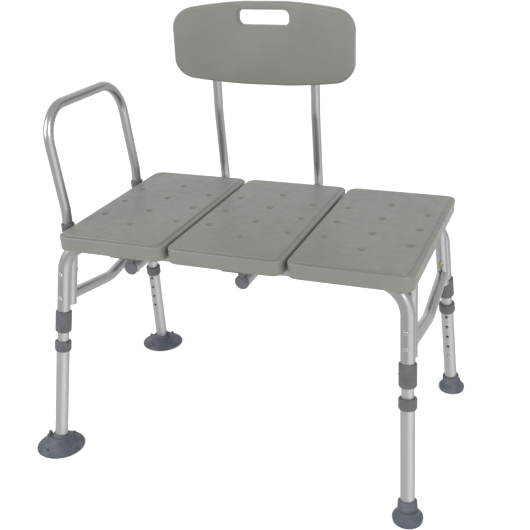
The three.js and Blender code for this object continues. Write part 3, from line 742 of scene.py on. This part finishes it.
def suction_foot(leg, end_sign):
    """A wide cup with a thin rolled rim, four studs, a neck for the tube and a release tab."""
    cup = rounded([(0, 5), (30, 3.4), (46, 0), (48, 1.2), (47.2, 3.4), (45, 2.9), (43.4, 4.6),
                   (31, 12.8), (20, 19), (18.2, 24), (0, 24)], 1.0)
    mesh = turned_mesh(in_mm(cup), Matrix.Translation(leg.foot), 96)
    neck = rounded([(0, 8), (18.6, 8), (17.2, 22), (16.2, 27), (14.6, 28.6), (0, 28.6)], 1.2)
    mesh = combined(mesh, turned_mesh(in_mm(neck), leg.matrix, 64), "UNION")
    tab = tab_mesh(leg.foot + Vector((22 * MM * end_sign, 0, 0)), end_sign)
    mesh = combined(mesh, tab, "UNION")
    stud = rounded([(0, 6), (3.4, 6), (2.8, 14.2), (0, 14.5)], 0.8)
    for degrees in (75, 165, 255, 345):
        angle = math.radians(degrees)
        spot = leg.foot + Vector((37 * MM * math.cos(angle), 37 * MM * math.sin(angle), -1.5 * MM))
        stud_here = turned_mesh(in_mm(stud), Matrix.Translation(spot), 24)
        mesh = combined(mesh, stud_here, "UNION")
    return combined(mesh, tube_pocket(leg))


def tab_mesh(base, end_sign):
    """A thin upright finger tab with a pointed top."""
    outline = [(-6, 8), (6, 8), (5.4, 24), (2.2, 31), (0, 32.2), (-2.2, 31), (-5.4, 24)]
    verts = []
    for x, grow in ((-1.9, 0.7), (-1.2, 1), (1.2, 1), (1.9, 0.7)):
        verts += [base + Vector((x * MM, y * grow * MM, z * MM)) for y, z in outline]
    size = len(outline)
    faces = [tuple(reversed(range(size))), tuple(range(3 * size, 4 * size))]
    for row in range(3):
        for i in range(size):
            j = (i + 1) % size
            faces.append((row * size + i, row * size + j, (row + 1) * size + j, (row + 1) * size + i))
    return mesh_of(verts, faces)


def rubber_foot(leg):
    """A flared tip with a grooved sole edge and a neck for the tube."""
    base = rounded([(0, 0), (26, 0), (26.2, 2.6), (25.2, 3.1), (27, 4.4), (26.8, 9.6),
                    (19.4, 16.6), (18.2, 23), (0, 23)], 0.9)
    mesh = turned_mesh(in_mm(base), Matrix.Translation(leg.foot), 80)
    neck = rounded([(0, 8), (18.6, 8), (17.7, 22), (16.9, 36.5), (16.1, 38.2), (14.4, 38.9), (0, 38.9)], 0.8)
    mesh = combined(mesh, turned_mesh(in_mm(neck), leg.matrix, 64), "UNION")
    return combined(mesh, tube_pocket(leg))


def fit_leg(place, end, end_sign, side):
    leg = LEGS[place]
    column, extension = f"fine_column_{place}", f"extension_{place}"
    bore = TUBE_RADIUS + SLIP
    lip = SLIDE_RADIUS + 0.2 * MM
    upper = collar_mesh(leg, f"upper_collar_{place}", 15.6 * MM, bore, lip, False)
    upper = combined(upper, leg.fine_hole())
    lower = collar_mesh(leg, f"lower_collar_{place}", 16 * MM, bore, lip, True)
    skin(f"upper_collar_{place}", upper, COLLAR, "frame")
    skin(f"lower_collar_{place}", lower, COLLAR, extension)

    skin(f"inner_tube_{place}", inner_mesh(leg, place), MATT_ALUMINIUM, column)
    skin(f"extension_tube_{place}", extension_mesh(leg, place), MATT_ALUMINIUM, extension)

    height = leg.at(0, 0, sum(leg.span(f"height_button_{place}")) / 2)
    button = button_mesh(facing(height, leg.inward), 15.2 * MM, 11.2 * MM)
    skin(f"height_button_{place}", button, STEEL, f"height_button_{place}")
    button = button_mesh(facing(leg.at(0, 0, leg.fine_along), leg.fine_out), 16.7 * MM, 13.2 * MM)
    skin(f"fine_button_{place}", button, STEEL, f"fine_button_{place}")

    node = f"suction_foot_{end}" if side == "left" else f"rubber_foot_{end}"
    mesh = suction_foot(leg, end_sign) if side == "left" else rubber_foot(leg)
    skin(node, mesh, RUBBER, extension)


for place, end, end_sign, side in PLACES:
    fit_leg(place, end, end_sign, side)

# ------------------------------------------------------------------ armrest

ARM_KNEE = SEAT_TOP + 25 * MM
ARM_CORNER = 66 * MM


def armrest_mesh():
    inner_x, outer_x = ARM_HIGH.x - RAIL_RADIUS, ARM_LOW.x + RAIL_RADIUS
    front_y, rear_y = ARM_LOW.y + RAIL_RADIUS, ARM_HIGH.y - RAIL_RADIUS
    top = ARM_HIGH.z - RAIL_RADIUS
    corners = [Vector(p) for p in (
        (inner_x, front_y, ARM_LOW.z), (inner_x, front_y, ARM_KNEE), (outer_x, front_y, top),
        (outer_x, rear_y, top), (inner_x, rear_y, ARM_KNEE), (inner_x, rear_y, ARM_LOW.z))]
    path = bent_path(corners, [90 * MM, ARM_CORNER, ARM_CORNER, 90 * MM], 3)
    return tube_mesh(path, RAIL_RADIUS, RAIL_BORE, 48)


skin("armrest_tube", armrest_mesh(), ALUMINIUM, "armrest")

for end, _ in ENDS:
    low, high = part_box(f"arm_bush_{end}")
    centre = (low + high) / 2
    height = high.z - low.z
    profile = [(11.2, 0), (12.7, 0), (12.7, height / MM - 2), (12.2, height / MM), (9.7, height / MM),
               (9.7, height / MM - 3), (11.2, height / MM - 3)]
    bush = turned_mesh(rounded_ring(in_mm(profile), 0.6 * MM),
                       Matrix.Translation((centre.x, centre.y, low.z)), 56)
    skin(f"arm_bush_{end}", bush, COLLAR, "frame")

# ------------------------------------------------------------------ backrest

BACK_LOW, BACK_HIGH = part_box("backrest_panel")
BACK_MIDDLE = (BACK_LOW + BACK_HIGH) / 2
BACK_HALF = (BACK_HIGH.x - BACK_LOW.x) / 2
BACK_TALL = (BACK_HIGH.z - BACK_LOW.z) / 2
BACK_SAG = 20 * MM
BACK_THICKNESS = 22 * MM
BACK_BOW = 18 * MM
BACK_CORNER = 38 * MM
BACK_ROUND = 5 * MM
GRIP_HALF_X, GRIP_HALF_Z, GRIP_CORNER = 56 * MM, 15.5 * MM, 12 * MM
GRIP_HEIGHT = SEAT_TOP + 328 * MM
GRIP_ROUND = 3 * MM
POST_BED = 2.1 * MM    # from the panel's back down to a post's axis


def barrel_top(xs):
    """Points (x, z, angle of the outward normal) of the upper half outline, over the given x places."""
    points = []
    corner_x = BACK_HALF - BACK_CORNER
    corner_z = BACK_TALL - BACK_BOW * (corner_x / BACK_HALF) ** 2 - BACK_CORNER
    slope = math.atan(2 * BACK_BOW * corner_x / BACK_HALF ** 2)
    for x in xs:
        tilt = math.atan(2 * BACK_BOW * x / BACK_HALF ** 2)
        points.append((x, BACK_TALL - BACK_BOW * (x / BACK_HALF) ** 2, tilt))
    corner = []
    steps = 12
    for i in range(1, steps + 1):
        angle = slope + (math.pi / 2 - slope) * i / steps
        corner.append((corner_x + BACK_CORNER * math.sin(angle) - BACK_CORNER * math.sin(slope),
                       corner_z + BACK_CORNER * math.cos(angle) + BACK_CORNER * (1 - math.cos(slope)),
                       angle))
    stretch = BACK_HALF / corner[-1][0]
    corner = [(x * (1 + (stretch - 1) * (k + 1) / steps), z, a) for k, (x, z, a) in enumerate(corner)]
    mirrored = [(-x, z, -a) for x, z, a in reversed(corner)]
    return mirrored + points + corner


def grip_top(outset):
    """Points (x, z) of the grip slot's upper half, grown by outset."""
    radius = GRIP_CORNER + outset
    points = []
    for sign, turns in ((-1, range(0, 7)), (1, range(6, -1, -1))):
        for i in turns:
            angle = math.pi / 2 * (1 - i / 6)
            points.append((sign * (GRIP_HALF_X - GRIP_CORNER + radius * math.sin(angle)),
                           GRIP_HALF_Z - GRIP_CORNER + radius * math.cos(angle)))
    return points


def back_depth(x):
    """Where the front face lies at x, measured back from its middle."""
    return -BACK_SAG * (x / BACK_HALF) ** 2


def backrest_mesh():
    corner_x = BACK_HALF - BACK_CORNER
    grip_xs = [x for x, _ in grip_top(GRIP_ROUND)]
    outer_xs = [-corner_x * k / 8 for k in range(8, 3, -1)]
    far = [x for x in outer_xs if x < min(grip_xs) - 4 * MM]
    xs = far + grip_xs + [-x for x in reversed(far)]
    top = barrel_top(xs)
    first_slot = next(i for i, (x, _, _) in enumerate(top) if abs(x - grip_xs[0]) < 1e-9)
    last_slot = first_slot + len(grip_xs) - 1
    verts, faces = [], []
    front_y = BACK_HIGH.y - BACK_THICKNESS

    def add_loop(points):
        start = len(verts)
        verts.extend(points)
        return start

    def place(x, z, depth):
        return (BACK_MIDDLE.x + x, front_y + back_depth(x) + depth, BACK_MIDDLE.z + z)

    def rounding(radius):
        """(inset, depth) pairs from the front face round the edge to the back face."""
        quarter = [(radius * (1 - math.sin(a)), radius * (1 - math.cos(a)))
                   for a in (math.pi / 2 * k / 6 for k in range(7))]
        back = [(inset, BACK_THICKNESS - depth) for inset, depth in reversed(quarter)]
        return quarter + back

    outline = top + [(x, -z, math.pi - a) for x, z, a in reversed(top)]
    rings = []
    for inset, depth in rounding(BACK_ROUND):
        rings.append(add_loop([place(x - math.sin(a) * inset, z - math.cos(a) * inset, depth)
                               for x, z, a in outline]))
    size = len(outline)
    count = len(top)
    for here, after in zip(rings, rings[1:]):
        faces.extend((here + i, here + (i + 1) % size, after + (i + 1) % size, after + i)
                     for i in range(size))

    slot_rings = []
    grip_z = GRIP_HEIGHT - BACK_MIDDLE.z
    for inset, depth in rounding(GRIP_ROUND):
        upper = grip_top(inset)
        loop = upper + [(x, -z) for x, z in reversed(upper)]
        slot_rings.append(add_loop([place(x, grip_z + z, depth) for x, z in loop]))
    slot_size = 2 * len(grip_xs)
    for here, after in zip(slot_rings, slot_rings[1:]):
        faces.extend((here + i, here + (i + 1) % slot_size, after + (i + 1) % slot_size, after + i)
                     for i in range(slot_size))

    for ring, slot_ring in ((rings[0], slot_rings[0]), (rings[-1], slot_rings[-1])):
        bottom = [ring + size - 1 - i for i in range(count)]
        slot_bottom = [slot_ring + slot_size - 1 - i for i in range(len(grip_xs))]
        for i in range(count - 1):
            above, below = (ring + i, ring + i + 1), (bottom[i + 1], bottom[i])
            if first_slot <= i < last_slot:
                k = i - first_slot
                faces.append((*above, slot_ring + k + 1, slot_ring + k))
                faces.append((slot_bottom[k], slot_bottom[k + 1], *below))
            elif i == first_slot - 1:
                faces.append((*above, slot_ring, slot_bottom[0], *below))
            elif i == last_slot:
                faces.append((*above, *below, slot_bottom[-1], slot_ring + len(grip_xs) - 1))
            else:
                faces.append((*above, *below))
    return mesh_of(verts, faces)


POSTS = {side: middle_of(f"back_sleeve_{side}") for side in SIDES}
POST_LOW, POST_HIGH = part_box("back_post_left")
POST_BACK_Y = POST_HIGH.y + 4 * MM - RAIL_RADIUS


def post_path(x, sleeve_z):
    upper_y = BACK_HIGH.y - POST_BED
    corners = [Vector(p) for p in (
        (x, POST_LOW.y, sleeve_z), (x, POST_BACK_Y, sleeve_z),
        (x, upper_y, SEAT_TOP + 133 * MM), (x, upper_y, POST_HIGH.z))]
    return bent_path(corners, [42 * MM, 150 * MM], 3)


back_mesh = backrest_mesh()
for side, centre in POSTS.items():
    back_mesh = combined(back_mesh, tube_mesh(post_path(centre.x, centre.z), RAIL_RADIUS + 0.5 * MM, 0, 40))
skin("backrest_panel", back_mesh, SEAT, "backrest")

for side, centre in POSTS.items():
    low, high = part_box(f"back_button_{side}")
    spot = Vector((centre.x, (low.y + high.y) / 2, centre.z))
    post = tube_mesh(post_path(centre.x, centre.z), RAIL_RADIUS, RAIL_BORE, 48)
    slot = block_mesh(Vector((spot.x - NOTCH_HALF, POST_LOW.y - 2 * MM, spot.z - CUT_TO)),
                      Vector((spot.x + NOTCH_HALF, spot.y + NOTCH_HALF, spot.z - CUT_FROM)))
    post = combined(post, slot)
    skin(f"back_post_{side}", post, ALUMINIUM, "backrest")

    low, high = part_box(f"back_sleeve_{side}")
    along_y = Vector((0, 1, 0))
    ends = [(Vector((centre.x, y, centre.z)), along_y) for y in (low.y, high.y)]
    sleeve = tube_mesh(ends, TUBE_RADIUS, TUBE_BORE - 1.4 * MM, 48)
    sleeve = combined(sleeve, rod_mesh(spot, spot - Vector((0, 0, 20 * MM)), HOLE_RADIUS, 32))
    skin(f"back_sleeve_{side}", sleeve, MATT_ALUMINIUM, "frame")

    cap_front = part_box(f"sleeve_cap_{side}")[0].y
    cap = rounded([(0, -4), (9.2, -4), (9.2, 0.6), (13.1, 0.6), (13.2, 3.0), (12.2, 4.1),
                   (10.4, 4.3), (9.8, 3.7), (8.8, 3.6), (8.2, 4.1), (0, 4.4)], 0.5)
    place = facing(Vector((centre.x, cap_front + 4.4 * MM, centre.z)), -along_y)
    skin(f"sleeve_cap_{side}", turned_mesh(in_mm(cap), place, 56), CAP, "frame")

    mesh = button_mesh(facing(spot, Vector((0, 0, -1))), 15.2 * MM, 12.0 * MM)
    skin(f"back_button_{side}", mesh, STEEL, f"back_button_{side}")


def bevelled(mesh, width, segments=3):
    """mesh with its sharp edges rounded."""
    whole = bmesh.new()
    whole.from_mesh(mesh)
    edges = [edge for edge in whole.edges
             if len(edge.link_faces) == 2 and edge.calc_face_angle(0) > math.radians(50)]
    bmesh.ops.bevel(whole, geom=edges, offset=width, segments=segments, affect="EDGES", profile=0.5)
    whole.to_mesh(mesh)
    whole.free()
    return mesh


def saddle_mesh(end, side):
    """A moulded spacer: a thin plate under the seat and a web bedded on the sleeve."""
    low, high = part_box(f"saddle_block_{end}_{side}")
    centre = POSTS[side]
    plate = bevelled(block_mesh(Vector((low.x, low.y, high.z - 2.8 * MM)), high), 0.8 * MM)
    if end == "front":
        web_low, web_high = low.y + 20 * MM, high.y - 0.4 * MM
    else:
        web_low, web_high = low.y + 0.4 * MM, high.y - 20 * MM
    web = bevelled(block_mesh(Vector((centre.x - 5.5 * MM, web_low, centre.z)),
                              Vector((centre.x + 5.5 * MM, web_high, high.z - 1 * MM))), 0.8 * MM)
    mesh = combined(plate, web, "UNION")
    bed = rod_mesh(Vector((centre.x, low.y - 50 * MM, centre.z)),
                   Vector((centre.x, high.y + 50 * MM, centre.z)),
                   TUBE_RADIUS + 0.2 * MM, 48)
    return combined(mesh, bed)


for end, _ in ENDS:
    for side in SIDES:
        skin(f"saddle_block_{end}_{side}", saddle_mesh(end, side), COLLAR, "frame")

# ------------------------------------------------------------------ screws

DOWN = Vector((0, 0, -1))


def seat_screws(end):
    """Two screws up through the frame tube into each panel, and one through each sleeve."""
    left = LEGS[f"{end}_left"].at_height(FRAME_TOP)
    meshes = []
    for name in ("left", "middle", "right"):
        centre = middle_of(f"seat_panel_{name}")
        for sx in (-1, 1):
            spot = Vector((centre.x + sx * 62 * MM, left.y, FRAME_TOP - TUBE_RADIUS + 0.2 * MM))
            if min(abs(spot.x - post.x) for post in POSTS.values()) > 20 * MM:
                meshes += bolt_head(spot, DOWN)
    for post in POSTS.values():
        meshes += bolt_head(Vector((post.x, left.y, post.z - TUBE_RADIUS + 0.2 * MM)), DOWN)
    return joined(meshes)


def back_screws():
    """Two screws through each post into the back panel."""
    meshes = []
    for post in POSTS.values():
        for height in (BACK_LOW.z + 45 * MM, BACK_HIGH.z - 60 * MM):
            spot = Vector((post.x, BACK_HIGH.y - POST_BED + RAIL_RADIUS - 0.2 * MM, height))
            meshes += bolt_head(spot, Vector((0, 1, 0)))
    return joined(meshes)


for end, _ in ENDS:
    fit(make_piece(f"seat_screws_{end}", seat_screws(end), STEEL), "frame")
fit(make_piece("back_screws", back_screws(), STEEL), "backrest")

# ------------------------------------------------------------------ studio


ROOM_LIGHT = 0.66
FLOOR_REACH = 200    # metres from the middle to the edge, past the horizon of a low view


def studio():
    """A pale floor and room, brighter from below, front right and back left, and two lamps."""
    world = bpy.data.worlds.new("studio")
    world.use_nodes = True
    world.cycles.sampling_method = "NONE"
    tree = world.node_tree
    direction = tree.nodes.new("ShaderNodeTexCoord").outputs["Generated"]

    def lobe(towards, start, end, low, high):
        """Brightness from low to high as a direction turns towards the given one."""
        dot = tree.nodes.new("ShaderNodeVectorMath")
        dot.operation = "DOT_PRODUCT"
        dot.inputs[1].default_value = Vector(towards).normalized()
        tree.links.new(direction, dot.inputs[0])
        ramp = tree.nodes.new("ShaderNodeMapRange")
        ramp.interpolation_type = "SMOOTHSTEP"
        for name, number in (("From Min", start), ("From Max", end), ("To Min", low), ("To Max", high)):
            ramp.inputs[name].default_value = number
        tree.links.new(dot.outputs["Value"], ramp.inputs["Value"])
        return ramp.outputs["Result"]

    total = lobe((0, 0, -1), -0.3, 0.6, 0.0, 0.12)
    panels = (((0.85, -0.53, -0.25), 0.55, 1.0, 0.62), ((-0.45, 0.9, 0.0), 0.45, 1.0, 0.30))
    for towards, first, last, high in panels:
        plus = tree.nodes.new("ShaderNodeMath")
        plus.operation = "ADD"
        tree.links.new(total, plus.inputs[0])
        tree.links.new(lobe(towards, first, last, 0.0, high), plus.inputs[1])
        total = plus.outputs[0]
    base = tree.nodes.new("ShaderNodeMath")
    base.operation = "ADD"
    base.inputs[1].default_value = ROOM_LIGHT
    tree.links.new(total, base.inputs[0])
    tree.links.new(base.outputs[0], tree.nodes["Background"].inputs["Strength"])
    tree.nodes["Background"].inputs["Color"].default_value = (1, 1, 1, 1)
    bpy.context.scene.world = world
    bpy.context.scene.view_settings.view_transform = "Standard"

    floor_material = bpy.data.materials.new("floor")
    floor_material.use_nodes = True
    shader = floor_material.node_tree.nodes["Principled BSDF"]
    shader.inputs["Base Color"].default_value = (0.93, 0.93, 0.93, 1)
    shader.inputs["Roughness"].default_value = 1
    shader.inputs["Specular IOR Level"].default_value = 0
    shader.inputs["Emission Color"].default_value = (1, 1, 1, 1)
    shader.inputs["Emission Strength"].default_value = 0.36
    verts = [(x * FLOOR_REACH, y * FLOOR_REACH, 0) for x, y in ((-1, -1), (1, -1), (1, 1), (-1, 1))]
    floor_mesh = mesh_of(verts, [(0, 1, 2, 3)])
    floor_mesh.materials.append(floor_material)
    floor = bpy.data.objects.new("floor", floor_mesh)
    floor.visible_glossy = False
    bpy.context.scene.collection.objects.link(floor)

    lamps = (("key", 46, 1.6, (2.0, -1.9, 2.6)), ("fill", 62, 2.2, (-2.4, -2.2, 2.2)))
    for name, energy, size, place in lamps:
        data = bpy.data.lights.new(name, "AREA")
        data.energy = energy
        data.size = size
        light = bpy.data.objects.new(name, data)
        light.location = place
        light.rotation_euler = (Vector((0, 0, 0.4)) - light.location).to_track_quat("-Z", "Y").to_euler()
        bpy.context.scene.collection.objects.link(light)


studio()
